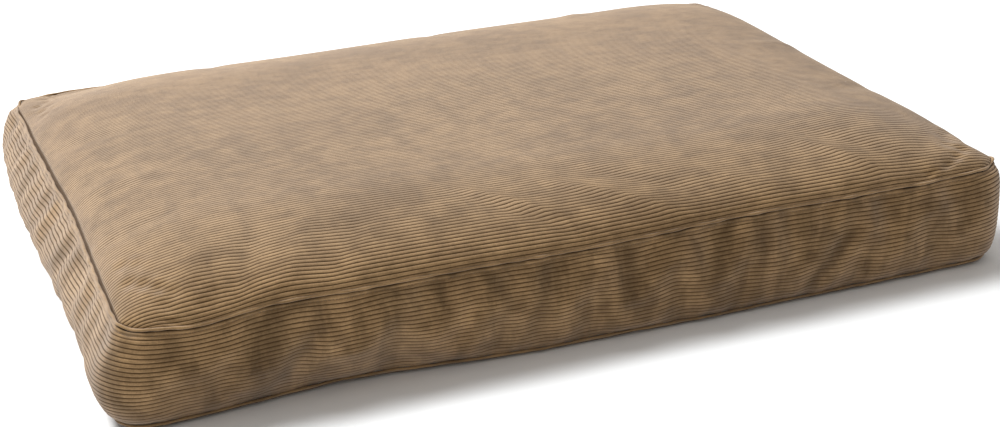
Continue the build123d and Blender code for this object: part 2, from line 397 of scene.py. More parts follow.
# %% The ribs
RIB = 4.7 * MM
RIB_STAGES = np.array([0, 0.13, 0.36, 0.64, 0.87])
RIB_HEIGHTS = np.array([-1.1, -0.3, 0, 0, -0.3]) * MM


def rib_rows(width):
    """Rows across a cloth of this width, counted in ribs, and the rib's height at each."""
    count = round(width / RIB)
    stages = (np.arange(count)[:, None] + RIB_STAGES).ravel()
    heights = np.tile(RIB_HEIGHTS, count)
    return np.append(stages, count), np.append(heights, RIB_HEIGHTS[0])


def cloth_places(along, stages):
    """UV map counted in ribs: U along the ribs, V across them, so grooves fall on whole V."""
    return np.stack(np.meshgrid(along / RIB, stages), axis=-1)


def face_normals(grid):
    """Outward directions of a grid surface."""
    along = np.gradient(grid, axis=1)
    up = np.gradient(grid, axis=0)
    normal = np.cross(along, up)
    return normal / np.maximum(np.linalg.norm(normal, axis=-1, keepdims=True), 1e-12)


# Hollow value that paints the seam's shade: the groove's dark colour beside the lip.
SEAM_PAINTED_SHADE = 2


def mark_hollows(piece, hollows):
    """Keep on each vertex how far the cloth sinks: 1 in a deep fold, below 0 on a ridge, and 2
    beside a seam. The finishes paint shade from it in the hollows and beside the seams, with a
    little painted light on the ridges."""
    layer = piece.data.attributes.new("hollow", "FLOAT", "POINT")
    layer.data.foreach_set("value", hollows.ravel())


def keep_stance(piece, normals=None):
    """Keep on each vertex the broad direction that the cloth faces, without its ribs and folds."""
    if normals is None:
        normals = np.array([normal.vector for normal in piece.data.vertex_normals])
    layer = piece.data.attributes.new("stance", "FLOAT_VECTOR", "POINT")
    layer.data.foreach_set("vector", normals.ravel())


def grid_piece(name, grid, uv, body="cushion"):
    """A finished cloth surface from a grid of points and their places in the flat cloth."""
    ids = np.arange(grid[..., 0].size).reshape(grid.shape[:2])
    piece = make_mesh(name, grid, quads(ids), uv)
    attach(piece, body)
    return piece


# %% [markdown]
# The top panel is puffed up by the filling. Loose fibre settles in soft lumps, so a few broad
# swellings and hollows are laid over the crown before the ribs are cut. Near the front seam the
# cloth is pushed into short slanting creases, each drawn from one end to the other.

# %% Lumps and creases of the top
LUMPS = (
    # along, across, reach along, reach across, height in millimetres
    (-330, -40, 150, 150, 4),
    (-60, -120, 120, 120, -3),
    (60, 60, 170, 150, 4),
    (300, 20, 140, 140, 2),
    (180, -190, 110, 110, -4),
    (370, -230, 90, 90, 4),
    (-230, -230, 110, 110, 3),
    (-430, 330, 90, 90, -9),
    (-180, 330, 330, 110, -10),
    (330, 320, 260, 110, -7),
)
TOP_CREASES = (
    # from x, y to x, y, half width, height in millimetres
    (-385, -352, -350, -285, 13, -3.5),
    (-425, -330, -395, -275, 14, 2.5),
    (-330, -345, -285, -270, 15, 2.5),
    (-290, -350, -240, -290, 12, -2.0),
    (-110, -262, -40, -325, 9, 2.8),
    (-85, -305, -20, -348, 11, -2.4),
    (0, -285, 90, -348, 9, 3.0),
    (30, -262, 120, -325, 13, -2.6),
    (150, -300, 215, -345, 12, 1.5),
    (290, -285, 345, -345, 9, 2.6),
    (315, -275, 375, -330, 12, -2.2),
    (400, -335, 455, -290, 12, -1.6),
    (-478, -200, -420, -190, 13, -1.8),
    (-480, -60, -410, -80, 14, 1.6),
    (-478, 90, -420, 70, 14, -1.6),
    (470, -120, 410, -150, 14, -1.8),
    (470, 60, 400, 40, 14, 1.6),
    (-260, 345, -230, 270, 14, -1.8),
    (40, 345, 70, 280, 14, -1.6),
    (280, 345, 260, 290, 14, 1.8),
)


def lumps(points):
    """Height that the settled filling adds."""
    added = np.zeros(points.shape[:-1])
    for along, across, reach_along, reach_across, height in LUMPS:
        near = ((points[..., 0] - along * MM) / (reach_along * MM)) ** 2
        near += ((points[..., 1] - across * MM) / (reach_across * MM)) ** 2
        added += height * MM * np.exp(-near)
    return added


def top_creases(points):
    """Height of the creases: a soft ridge or hollow round each drawn line."""
    added = np.zeros(points.shape[:-1])
    for x0, y0, x1, y1, half, height in TOP_CREASES:
        start = np.array([x0, y0]) * MM
        line = np.array([x1, y1]) * MM - start
        offset = points[..., :2] - start
        share = (offset @ line) / (line @ line)
        past = np.clip(np.abs(share - 0.5) - 0.25, 0, None) * 2.2
        sideways = (offset[..., 0] * line[1] - offset[..., 1] * line[0]) / np.linalg.norm(line)
        added += height * MM * np.exp(-((sideways / (half * MM)) ** 2) - past**2)
    return added


# %% [markdown]
# Each panel is one sheet of cloth, cut to a rounded rectangle with its ribs lengthways. Its
# columns stand closer together near the ends, where the crown is steep. At both ends the ribs are
# caught in the seam and pressed down, and a dark line of painted shade is laid beside the lip.

# %% Top panel
def graded_shares(count, ease=0.8):
    """Shares from -1 to 1, closer together near the ends."""
    even = np.linspace(-1, 1, count)
    return even * (1 - ease) + np.sin(even * math.pi / 2) * ease


def cloth_rows(rest):
    """Rows across a panel, spaced evenly along the cloth itself where it climbs the crown."""
    across = np.linspace(-half_depth, half_depth, 1500)
    line = rest(np.zeros((1, 1)), across[:, None])[:, 0]
    length = np.append(0, np.cumsum(np.linalg.norm(np.diff(line, axis=0), axis=1)))
    stages, ribs = rib_rows(length[-1])
    return stages, ribs, np.interp(stages / stages[-1] * length[-1], length, across)


def panel_piece(name, rest, moves, columns, extra=None):
    """A ribbed panel on its cage: rest shape, simulated moves, extra listed height, then ribs."""
    stages, ribs, across = cloth_rows(rest)
    share = graded_shares(columns)
    grid = rest(share[None, :], across[:, None])
    inside = np.clip((grid[..., 2] - top_seam) / crown_rise, 0, 1)
    grid = grid + over_panel(moves, across, share)
    stance = face_normals(grid)
    if extra:
        grid[..., 2] += extra(grid) * np.minimum(1, inside * CROWN_FADE)
    heights = np.tile(ribs[:, None], (1, columns))
    hollows = np.zeros_like(heights)
    for end in (slice(None, 2), slice(-2, None)):
        heights[:, end] = RIB_HEIGHTS[0]
        hollows[:, end] = SEAM_PAINTED_SHADE
    ribbed = grid + face_normals(grid) * heights[..., None]
    piece = grid_piece(name, ribbed, cloth_places(share * half_length, stages))
    mark_hollows(piece, hollows)
    keep_stance(piece, stance)
    return piece


top_panel = panel_piece(
    "corduroy_top", top_rest, top_moved, 123, lambda grid: lumps(grid) + top_creases(grid)
)
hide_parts("cover_top_panel")
print("top panel", len(top_panel.data.polygons), "faces")

# %% [markdown]
# The base panel is the same cloth. It lies flat on the floor inside a rim that rises to the seam,
# so it needs fewer columns.

# %% Base panel
base_panel = panel_piece("corduroy_base", base_rest, base_moved, 73)
base_panel.data.flip_normals()
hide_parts("cover_base_panel")
print("base panel", len(base_panel.data.polygons), "faces")

# %% [markdown]
# The border is one long strip whose ribs run round the bed. Next to each seam the turned-in
# allowances make it a little thicker, and the topstitching pulls a narrow channel along it. The
# stitched seam is shorter than the cloth it gathers, so the border breaks into folds there.
# The large folds are placed one by one, and a fixed random draw adds the small gathers.

# %% Relief of the border
CLOTH_HEIGHT = 24 * RIB
SEAM_DARK = 1.6
TOP_BAND = 5.6 * MM
BASE_BAND = 3.4 * MM
FOLD_CALM = 0.65
DEEP_HOLLOW = 1.5 * MM
FRONT_FOLDS = (
    # x at the top seam, slant (mm along per mm down), half width, height, from, to (mm down)
    (-452, 0.1, 9, -1.2, 5, 60),
    (-350, -0.35, 18, -3.2, 6, 80),
    (-318, -0.1, 12, 1.4, 15, 90),
    (-262, -0.75, 12, 3.2, 10, 108),
    (-285, -0.8, 12, -2.4, 30, 108),
    (-228, -0.1, 10, -2.0, 5, 60),
    (-185, 0.15, 9, -1.5, 5, 50),
    (-158, 0.0, 13, 1.2, 20, 95),
    (-130, 0.45, 10, -2.2, 6, 50),
    (-112, -0.1, 9, -1.6, 50, 100),
    (-62, -0.2, 11, -2.4, 5, 85),
    (-30, 0.1, 10, -1.5, 55, 100),
    (-5, 0.0, 15, 1.5, 15, 95),
    (32, -0.05, 10, -2.6, 4, 75),
    (68, 0.25, 9, -1.5, 35, 95),
    (96, 0.0, 14, 1.2, 10, 90),
    (140, -0.1, 11, -2.4, 5, 85),
    (186, 0.1, 10, -1.8, 5, 60),
    (215, -0.3, 12, 1.4, 25, 100),
    (243, 0.1, 10, -1.6, 5, 70),
    (300, -0.15, 11, -1.6, 5, 75),
    (352, -0.8, 10, 2.6, 35, 108),
    (330, -0.8, 10, -2.0, 40, 108),
    (395, 0.0, 11, -1.3, 5, 60),
    (445, 0.1, 10, -1.1, 5, 50),
)
SEAM_PULL, SEAM_PULL_REACH = 3.0 * MM, 2.0 * MM
BAND_RISE = 0.8 * MM
CHANNEL_DEPTH, CHANNEL_REACH = 1.5 * MM, 0.9 * MM
PRESSED_SHARE = 0.2
GATHER_REACH = 14
GATHERS = ((0.145, 0.35), (0.31, 0.3))  # radians per mm along the seam, height in mm
random = np.random.default_rng(11)


def drawn_folds(start, end, spacing, slant, half, height, down):
    """Folds at uneven places from start to end along the seam, all in millimetres."""
    folds = []
    place = start
    while place < end:
        sign = 1 if slant < -1 else random.choice([-1, 1])
        folds.append(
            (place, slant + random.normal(0, 0.16), half * random.uniform(0.8, 1.3),
             sign * height * random.uniform(0.4, 1), random.uniform(8, 22),
             down * random.uniform(0.6, 1.1))
        )
        place += spacing * random.uniform(0.6, 1.4)
    return folds


to_mm = 1 / MM
front_end = 2 * (half_length - seam_radius) * to_mm
corner = seam_radius * math.pi / 2 * to_mm
side = 2 * (half_depth - seam_radius) * to_mm
folds = [(x + front_end / 2, *rest) for x, *rest in FRONT_FOLDS]
folds += drawn_folds(-corner - side, -corner - 70, 17, -1.1, 4.0, 0.75, 80)
folds += drawn_folds(-corner - side, -corner - 100, 75, -0.4, 18, 1.5, 100)
folds += drawn_folds(front_end + corner, front_end + corner + side, 42, 0.2, 12, 1.4, 90)
print(len(folds), "folds on the border")

# %% [markdown]
# A fold's line starts under the top seam and slants as it goes down. Its height fades at both
# ends, and the seams' own band and channel are added on top.

# %% Border surface
def seam_relief(height):
    """Rolled band and stitched channel beside the two seams, at heights in the flat cloth."""
    relief = np.zeros_like(height)
    for away, band in ((CLOTH_HEIGHT - height, TOP_BAND), (height, BASE_BAND)):
        relief -= SEAM_PULL * np.exp(-((away / SEAM_PULL_REACH) ** 2))
        relief += BAND_RISE * np.exp(-(((away - band / 2) / (band / 2.6)) ** 4))
        relief -= CHANNEL_DEPTH * np.exp(-(((away - band) / CHANNEL_REACH) ** 2))
    return relief


def unribbed(stages, ribs):
    """Ribs pressed flat where the allowance is turned in, with their places in the cloth map.

    The cloth map starts from a groove at the seam itself, which is deep, so the groove's colour
    paints the seam's shade there."""
    height = stages * RIB
    low, high = BASE_BAND, CLOTH_HEIGHT - TOP_BAND
    pressed = (height < low) | (height > high)
    away = np.minimum(height, CLOTH_HEIGHT - height) / MM
    # The first rows by each seam map to the groove: painted seam shade.
    seam_shade_stage = np.interp(away, [0, SEAM_DARK, SEAM_DARK + 1.2], [0, 0.08, 0.5])
    return np.where(pressed, ribs * PRESSED_SHARE, ribs), np.where(pressed, seam_shade_stage, stages)


def fold_relief(run, height):
    """Height of all the folds over a grid of places along the seam and up the border."""
    down = (CLOTH_HEIGHT - height)[:, None] * to_mm
    place = run[None, :] * to_mm
    relief = np.zeros((len(height), len(run)))
    for start, slant, half, tall, first, last in folds:
        sideways = (place - start - slant * down) / half
        fade = np.clip((down - first) / 12 + 0.5, 0, 1) * np.clip((last - down) / 25 + 0.5, 0, 1)
        relief += FOLD_CALM * tall * MM * np.exp(-(sideways**2)) * fade
    for rate, tall in GATHERS:
        to_base = CLOTH_HEIGHT * to_mm - down
        near_seam = np.exp(-down / GATHER_REACH) + np.exp(-to_base / GATHER_REACH)
        wave = np.sin(place * rate + 2 * np.sin(place * rate * 0.37) + down * 0.05)
        relief += tall * MM * wave * near_seam
    return relief


def border_points(run, height, lift=0):
    """Points of the border's face at places along the seam and heights in the flat cloth."""
    grid = round_border(border_shape, run, height / CLOTH_HEIGHT)
    relief = seam_relief(height)[:, None] + fold_relief(run, height)
    return grid + face_normals(grid) * (relief + lift)[..., None]


# Hollows run to 1 in the deepest folds, where the finish paints shade, and down to -0.35 on ridges,
# where it paints a little light.
HOLLOW_RANGE = (-0.35, 1)


def hollows_at(run, height):
    """How far the folds sink at each place, for the finishes to paint shade in the hollows and
    light on the ridges.
    """
    return np.clip(-fold_relief(run, height) / DEEP_HOLLOW, *HOLLOW_RANGE)


def stance_at(run, height):
    """Broad direction the border faces, before ribs and folds."""
    return face_normals(round_border(border_shape, run, height / CLOTH_HEIGHT))


def border_piece(name, run, stages, ribs):
    """A ribbed strip of the border, with its hollows and stance kept."""
    ribs, map_stages = unribbed(stages, ribs)
    grid = border_points(run, stages * RIB, ribs[:, None])
    piece = grid_piece(name, grid, cloth_places(run, map_stages))
    mark_hollows(piece, hollows_at(run, stages * RIB))
    keep_stance(piece, stance_at(run, stages * RIB))
    return piece


# %% [markdown]
# The long strip goes round the left side, the front and the right side. It ends at two upright
# joins on the back border, where the zipped part begins.

# %% Long border strip
border_stages, border_ribs = rib_rows(CLOTH_HEIGHT)
back_run = loop_knots[COLUMNS + len(rows) - 1 + COLUMNS // 2]
_, join_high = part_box("border_join_seams")
join_x = join_high.x - 1.5 * MM
COLUMN_STEP = 4.2 * MM
strip_start = back_run + join_x - girth
strip_end = back_run - join_x
strip_run = np.linspace(strip_start, strip_end, round((strip_end - strip_start) / COLUMN_STEP))
long_strip = border_piece("corduroy_border", strip_run, border_stages, border_ribs)
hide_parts("border_strip")
print(f"long strip {strip_end - strip_start:.3f} m, {len(long_strip.data.polygons)} faces")

# %% [markdown]
# The back border is two strips with a zip between them. Each strip's edge is folded to the inside
# along the zip, so the fold shows as a rounded edge and the ribs run on beside it.

# %% Back border with folded edges
FOLD_BULK = 0.9 * MM
FOLD_DEPTH = 6 * MM
END_CLOSE = 12 * MM
CLOSED_SHIFT = 4.6 * MM
CLOSING_SPREAD = 16 * MM


def back_strip(name, low, high, fold_at_top):
    """One half of the back border between two stages, with a folded edge along the zip."""
    keep = (border_stages >= low) & (border_stages <= high)
    stages = np.unique(np.append(border_stages[keep], [low, high]))
    ribs, map_stages = unribbed(stages, np.interp(stages, border_stages, border_ribs))
    run = np.linspace(back_run - join_x, back_run + join_x, 212)
    grid = border_points(run, stages * RIB, ribs[:, None])
    way = 1 if fold_at_top else -1
    from_join = join_x - np.abs(run - back_run)
    closing = CLOSED_SHIFT * np.clip(1 - from_join / END_CLOSE, 0, 1) ** 1.5
    from_edge = np.abs(stages - (high if fold_at_top else low)) * RIB
    grid[..., 2] += way * closing[None, :] * np.exp(-from_edge / CLOSING_SPREAD)[:, None]
    edge = grid[-1] if fold_at_top else grid[0]
    normal = face_normals(grid)[-1 if fold_at_top else 0]
    turned = []
    for angle in np.radians([45, 90, 135, 180]):
        reach = np.array([0, 0, way * FOLD_BULK * math.sin(angle)])
        turned.append(edge + reach - normal * FOLD_BULK * (1 - math.cos(angle)))
    turned.append(turned[-1] - np.array([0, 0, way * FOLD_DEPTH]))
    stance = stance_at(run, stages * RIB)
    rolled = stages[-1 if fold_at_top else 0] + way * np.array([0.1, 0.2, 0.3, 0.4, 0.45])
    if fold_at_top:
        grid = np.concatenate([grid, turned])
        map_stages = np.append(map_stages, rolled)
        stance = np.concatenate([stance, [stance[-1]] * len(turned)])
    else:
        grid = np.concatenate([turned[::-1], grid])
        map_stages = np.append(rolled[::-1], map_stages)
        stance = np.concatenate([[stance[0]] * len(turned), stance])
    piece = grid_piece(name, grid, cloth_places(run, map_stages))
    keep_stance(piece, stance)
    return piece


def stage_at(level):
    """Place in the flat border, counted in ribs, of a height above the floor."""
    return (level - base_seam) / (top_seam - base_seam) * border_stages[-1]


zip_low_stage = stage_at(zip_low - FOLD_BULK)
zip_high_stage = stage_at(zip_high + FOLD_BULK)
last_stage = border_stages[-1]
lower_strip = back_strip("corduroy_back_lower", 0, zip_low_stage, True)
upper_strip = back_strip("corduroy_back_upper", zip_high_stage, last_stage, False)
for strip, node, ribs_tall in (
    (lower_strip, "zip_border_lower", zip_low_stage),
    (upper_strip, "zip_border_upper", last_stage - zip_high_stage),
):
    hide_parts(node)
print(f"back strips meet the zip at ribs {zip_low_stage:.2f} and {zip_high_stage:.2f}")

# %% [markdown]
# At each upright join the long strip and the back border are sewn face to face and opened out,
# which leaves two soft rolls of cloth with the stitched line between them.

# %% Upright joins
JOIN_HALF = 3.4 * MM
ROLL_RISE, ROLL_SINK = 0.9 * MM, 0.3 * MM


def join_roll(middle):
    """The two rolls beside one join, as a narrow grid that follows the border."""
    run = middle + np.linspace(-JOIN_HALF, JOIN_HALF, 13)
    place = (run - middle) / JOIN_HALF
    rolls = ROLL_RISE * np.sin(np.abs(place) * math.pi) - ROLL_SINK
    heights = np.linspace(0, CLOTH_HEIGHT, 61)
    # The stitched line and the rolls' outer edges map to the groove, so its colour paints shade in
    # those creases.
    stage = np.interp(np.abs(place), [0, 0.35, 0.7, 1], [0, 0.3, 0.3, 0.05])
    uv = np.stack(np.broadcast_arrays(run / RIB, stage), axis=-1)
    return border_points(run, heights, rolls[None, :]), np.tile(uv, (len(heights), 1, 1))


join_points, join_faces, join_uv = [], [], []
for middle in (back_run - join_x, back_run + join_x):
    points, uv = join_roll(middle)
    ids = np.arange(points[..., 0].size).reshape(points.shape[:2])
    join_faces.append(quads(ids) + sum(len(p) for p in join_points))
    join_points.append(points.reshape(-1, 3))
    join_uv.append(uv.reshape(-1, 2))
joins = make_mesh(
    "border_joins", np.concatenate(join_points), np.concatenate(join_faces), np.concatenate(join_uv)
)
keep_stance(joins)
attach(joins, "cushion")
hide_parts("border_join_seams")
print("joins at", round(join_x, 4), "m either side of the middle")

# %% [markdown]
# The top and the border are sewn together and turned, and the folded edge of the top stands as a
# soft lip all round, like a slim welt. It is never straight: the stitches pull it in and out.

# %% Welts round the two seams
def seam_path(level, spacing):
    """Evenly spaced places, points and outward directions round a seam; level 1 is the top."""
    run = np.linspace(0, girth, round(girth / spacing), endpoint=False)
    points = round_border(border_shape, run, np.array([level]))[0]
    return run, points, outward(points)


LIP_SIDES = 12
LIP_SPACING = 3 * MM
LIP_WOBBLE = 0.45 * MM
LIP_SWELLING = 0.12


def welt(name, level, tall, deep, lift, crest):
    """A soft lip swept round a seam; tall and deep are its half height and half depth.

    Crest is the angle above level of its top, which keeps the pile's colour; its flanks take the
    groove's colour, painted shade beside the lip."""
    run, path, out = seam_path(level, LIP_SPACING)
    wobble = LIP_WOBBLE * (np.sin(run * 160 + 2 * np.sin(run * 47)) + np.sin(run * 95 + 1))
    swelling = 1 + LIP_SWELLING * np.sin(run * 210 + 3 * np.sin(run * 31))
    rings = []
    turns = np.linspace(0, 2 * math.pi, LIP_SIDES, endpoint=False)
    for angle in turns:
        across = out * (deep * math.cos(angle) * swelling + wobble)[:, None]
        up = np.array([0, 0, 1]) * (tall * math.sin(angle) * swelling + lift)[:, None]
        rings.append(path + across + up)
    ids = np.arange(LIP_SIDES * len(run)).reshape(LIP_SIDES, len(run))
    from_crest = np.abs((turns - crest + math.pi) % (2 * math.pi) - math.pi)
    # Flanks map to the groove: painted shade on the lip's sides.
    stage = np.interp(from_crest, np.radians([50, 100]), [0.5, 0.05])
    uv = np.stack(np.meshgrid(run / RIB, stage), axis=-1)
    lip = make_mesh(name, np.array(rings), quads(np.vstack([ids, ids[:1]]), True)[:, ::-1], uv)
    keep_stance(lip)
    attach(lip, "cushion")
    return lip


top_lip = welt("top_welt", 1, 1.6 * MM, 1.8 * MM, 0.6 * MM, math.pi / 3)
base_lip = welt("base_welt", 0, 1.3 * MM, 2.1 * MM, 0, 0)
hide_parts("top_seam_welt")
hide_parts("base_seam_welt")
print("welts", len(top_lip.data.polygons), "and", len(base_lip.data.polygons), "faces")

# %% [markdown]
# Topstitching holds the seam flat. Each stitch is a short length of twisted thread that dips into
# the cloth at both ends, so one stitch is modelled and copied along the channel.

# %% Topstitching
STITCH_LENGTH = 3.0 * MM
STITCH_PITCH = 3.9 * MM
ZIP_STITCH_INSET = 3.2 * MM
ZIP_STITCH_END = 4 * MM
THREAD_RADIUS = 0.4 * MM


def one_stitch():
    """A single stitch along X: a rounded bar from a few rings of a sphere."""
    bpy.ops.object.select_all(action="DESELECT")
    bpy.ops.mesh.primitive_uv_sphere_add(segments=6, ring_count=5, radius=1)
    bar = bpy.context.active_object
    bpy.ops.object.mode_set(mode="EDIT")
    bpy.ops.transform.rotate(value=math.pi / 2, orient_axis="Y", center_override=(0, 0, 0))
    bpy.ops.transform.resize(value=(STITCH_LENGTH / 2, THREAD_RADIUS, THREAD_RADIUS))
    bpy.ops.object.mode_set(mode="OBJECT")
    points = np.array([v.co for v in bar.data.vertices])
    faces = [list(f.vertices) for f in bar.data.polygons]
    bpy.data.objects.remove(bar)
    return points, faces


stitch_points, stitch_faces = one_stitch()


def sew(name, path, normals, node):
    """Copies of the stitch laid along a path, joined as one piece of thread."""
    tangent = np.gradient(path, axis=0)
    tangent /= np.linalg.norm(tangent, axis=1, keepdims=True)
    side = np.cross(normals, tangent)
    points = (
        path[:, None]
        + stitch_points[None, :, 0, None] * tangent[:, None]
        + stitch_points[None, :, 1, None] * side[:, None]
        + stitch_points[None, :, 2, None] * normals[:, None]
    ).reshape(-1, 3)
    size = len(stitch_points)
    faces = [[v + i * size for v in face] for i in range(len(path)) for face in stitch_faces]
    thread = make_mesh(name, points, faces)
    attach(thread, "cushion")
    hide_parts(node)
    print(name, len(path), "stitches,", len(thread.data.polygons), "faces")
    return thread


def channel_path(start, end, height):
    """Places every stitch apart along the border at one height, and the face's normals."""
    run = np.linspace(start, end, round((end - start) / STITCH_PITCH), endpoint=False)
    near = height + np.array([-0.4, 0, 0.4]) * MM
    smooth = round_border(border_shape, run, near / CLOTH_HEIGHT)
    normals = face_normals(smooth)[1]
    return border_points(run, near)[1] + normals * 0.15 * MM, normals


threads = [
    sew("top_stitching", *channel_path(0, girth, CLOTH_HEIGHT - TOP_BAND), "top_topstitching"),
    sew("base_stitching", *channel_path(0, girth, BASE_BAND), "base_topstitching"),
]
zip_ends = (back_run - join_x + ZIP_STITCH_END, back_run + join_x - ZIP_STITCH_END)
for name, stage, way, node in (
    ("zip_stitching_lower", zip_low_stage, -1, "zip_topstitching_lower"),
    ("zip_stitching_upper", zip_high_stage, 1, "zip_topstitching_upper"),
):
    line = channel_path(*zip_ends, stage * RIB + way * ZIP_STITCH_INSET)
    threads.append(sew(name, *line, node))

# %% [markdown]
# A coil zip has no separate teeth: each side is one nylon wire wound into flat loops, sewn along
# the tape. One loop is a small ring pressed flat, and the Array modifier repeats it.

# %% Zip coils
COIL_PITCH = 1.5 * MM
WIRE_RADIUS = 0.32 * MM
RING_THICK = 0.28
RING_SPAN = 2 * (1 + RING_THICK)
LOOP_LEAN = math.radians(14)


def coil(name, node, way):
    """One side of the chain: flat loops along X, leaning a little as a wound wire does."""
    low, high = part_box(node)
    size = high - low
    count = round(size.x / COIL_PITCH)
    bpy.ops.object.select_all(action="DESELECT")
    bpy.ops.mesh.primitive_torus_add(
        major_segments=10, minor_segments=4, major_radius=1, minor_radius=RING_THICK,
        location=(low.x + COIL_PITCH / 2, (low.y + high.y) / 2, (low.z + high.z) / 2),
        rotation=(0, math.pi / 2, 0),
    )
    loop_ring = bpy.context.active_object
    loop_ring.name = name
    bpy.ops.object.transform_apply(location=False, rotation=True, scale=True)
    thick = WIRE_RADIUS / RING_THICK
    loop_ring.scale = (thick, size.y / RING_SPAN, size.z / RING_SPAN)
    loop_ring.rotation_euler = (0, way * LOOP_LEAN, 0)
    array = loop_ring.modifiers.new("Array", "ARRAY")
    array.use_relative_offset = False
    array.use_constant_offset = True
    array.count = count
    array.constant_offset_displace = (0, 0, 0)
    bpy.ops.object.transform_apply(location=True, rotation=True, scale=True)
    array.constant_offset_displace = (COIL_PITCH, 0, 0)
    bpy.ops.object.modifier_apply(modifier="Array")
    bpy.ops.object.shade_smooth()
    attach(loop_ring, "cushion")
    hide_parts(node)
    print(name, count, "loops,", len(loop_ring.data.polygons), "faces")
    return loop_ring


coils = [coil("coil_upper", "zip_coil_upper", 1), coil("coil_lower", "zip_coil_lower", -1)]

# %% [markdown]
# Inside the cover is a second cushion: a plain lining case stuffed with loose fibre. It follows
# the simulated cover a few millimetres inside it, so it is the cage again, drawn inwards.

# %% Inner cushion
def drawn_in(points, top_depth, base_depth, wall_depth):
    """The closed cage moved inwards, by different depths at the top, base and walls."""
    corners = points[cage_faces]
    facing = np.cross(corners[:, 2] - corners[:, 0], corners[:, 3] - corners[:, 1])
    normals = np.zeros_like(points)
    for corner_number in range(4):
        np.add.at(normals, cage_faces[:, corner_number], facing)
    normals /= np.linalg.norm(normals, axis=1, keepdims=True)
    depth = np.full(len(points), wall_depth)
    depth[top_ids.ravel()] = top_depth
    depth[base_ids.ravel()] = base_depth
    depth[loop_of(top_ids)] = wall_depth
    depth[loop_of(base_ids)] = wall_depth
    return points - normals * depth[:, None]


shaped_cage = cage_points.copy()
shaped_cage[border_ids] = border_shape
inner_ids = np.setdiff1d(np.arange(2 * top_ids.size), border_ids[[0, -1]])
shaped_cage[inner_ids] += moved[inner_ids]
crown = np.clip((cage_points[:, 2] - top_seam) / crown_rise, 0, 1)
shaped_cage[:, 2] += np.minimum(lumps(cage_points), 2 * MM) * np.minimum(1, crown * CROWN_FADE)
lining_points = drawn_in(shaped_cage, 6 * MM, 2.4 * MM, 8 * MM)
fibre_points = drawn_in(shaped_cage, 8 * MM, 3.6 * MM, 10 * MM)


def case_skin(name, ids, node, closed=False, flip=False):
    """One lining panel of the inner case."""
    faces = quads(ids, closed)
    used, places = np.unique(faces, return_inverse=True)
    faces = places.reshape(faces.shape)
    skin = make_mesh(name, lining_points[used], faces[:, ::-1] if flip else faces)
    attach(skin, "cushion")
    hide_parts(node)
    return skin


skins = [
    case_skin("inner_case_top_skin", top_ids, "inner_case_top"),
    case_skin("inner_case_base_skin", base_ids, "inner_case_base", flip=True),
    case_skin("inner_case_border_skin", border_ids, "inner_case_border",
              closed=True),
]
stuffing = make_mesh("fibre_stuffing", fibre_points, cage_faces)
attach(stuffing, "cushion")
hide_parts("fibre_fill")
print("inner cushion", len(stuffing.data.polygons), "faces")

# %% [markdown]
# Every finish is made from procedural nodes. A few helpers keep the recipes short: one adds a
# node and sets its values, and one starts a group with named inputs and outputs.

# %% Helpers for node recipes
def feed(tree, node, inputs):
    """Give a node its inputs; each is a value or the socket that feeds it."""
    for key, value in inputs.items():
        if isinstance(value, bpy.types.NodeSocket):
            tree.links.new(value, node.inputs[key])
        else:
            node.inputs[key].default_value = value


def add_node(tree, kind, inputs=None, **settings):
    """A new node in a tree, with its settings and its inputs."""
    node = tree.nodes.new(kind)
    for key, value in settings.items():
        setattr(node, key, value)
    feed(tree, node, inputs or {})
    return node


def new_group(name, inputs, outputs):
    """A shader node group; inputs and outputs map names to socket types."""
    tree = bpy.data.node_groups.new(name, "ShaderNodeTree")
    for side_words, sockets in (("INPUT", inputs), ("OUTPUT", outputs)):
        for socket_name, kind in sockets.items():
            tree.interface.new_socket(socket_name, in_out=side_words, socket_type=kind)
    entry = tree.nodes.new("NodeGroupInput")
    leave = tree.nodes.new("NodeGroupOutput")
    return tree, entry.outputs, leave


def noise(tree, place, scale, detail=3.0, roughness=0.6, **more):
    """Noise texture, returned as its value socket."""
    inputs = {"Vector": place, "Scale": scale, "Detail": detail, "Roughness": roughness}
    return add_node(tree, "ShaderNodeTexNoise", inputs | more).outputs["Fac"]


def sums(tree, operation, first, second, third=None):
    """One math node."""
    inputs = {0: first, 1: second}
    if third is not None:
        inputs[2] = third
    return add_node(tree, "ShaderNodeMath", inputs, operation=operation).outputs[0]


def blend_colours(tree, share, first, second, blend_type="MIX"):
    """One colour mix node; sockets 0, 6 and 7 are the share and the two colours."""
    inputs = {0: share, 6: first, 7: second}
    mix = add_node(tree, "ShaderNodeMix", inputs, data_type="RGBA", blend_type=blend_type)
    return mix.outputs[2]


def stretch(tree, value, low, high, to_low=0.0, to_high=1.0):
    """A value spread from one range to another."""
    inputs = {"Value": value, "From Min": low, "From Max": high,
              "To Min": to_low, "To Max": to_high}
    return add_node(tree, "ShaderNodeMapRange", inputs).outputs["Result"]


FLOAT, COLOUR, VECTOR = "NodeSocketFloat", "NodeSocketColor", "NodeSocketVector"
# Share and cap of the pale sheen that is painted into the pile's colour where the cloth turns away
# from the eye.
PAINTED_SHEEN_SHARE = 0.7
MOST_PAINTED_SHEEN = 0.34

# %% [markdown]
# Corduroy's pile stands up in ribs and lies down in the grooves. The groove's bare ground is a
# little darker and warmer, and the shade that falls deep into a groove is painted into its colour
# too. The cloth map counts ribs along V, so the distance to the nearest whole number says how deep
# in a groove a point is.

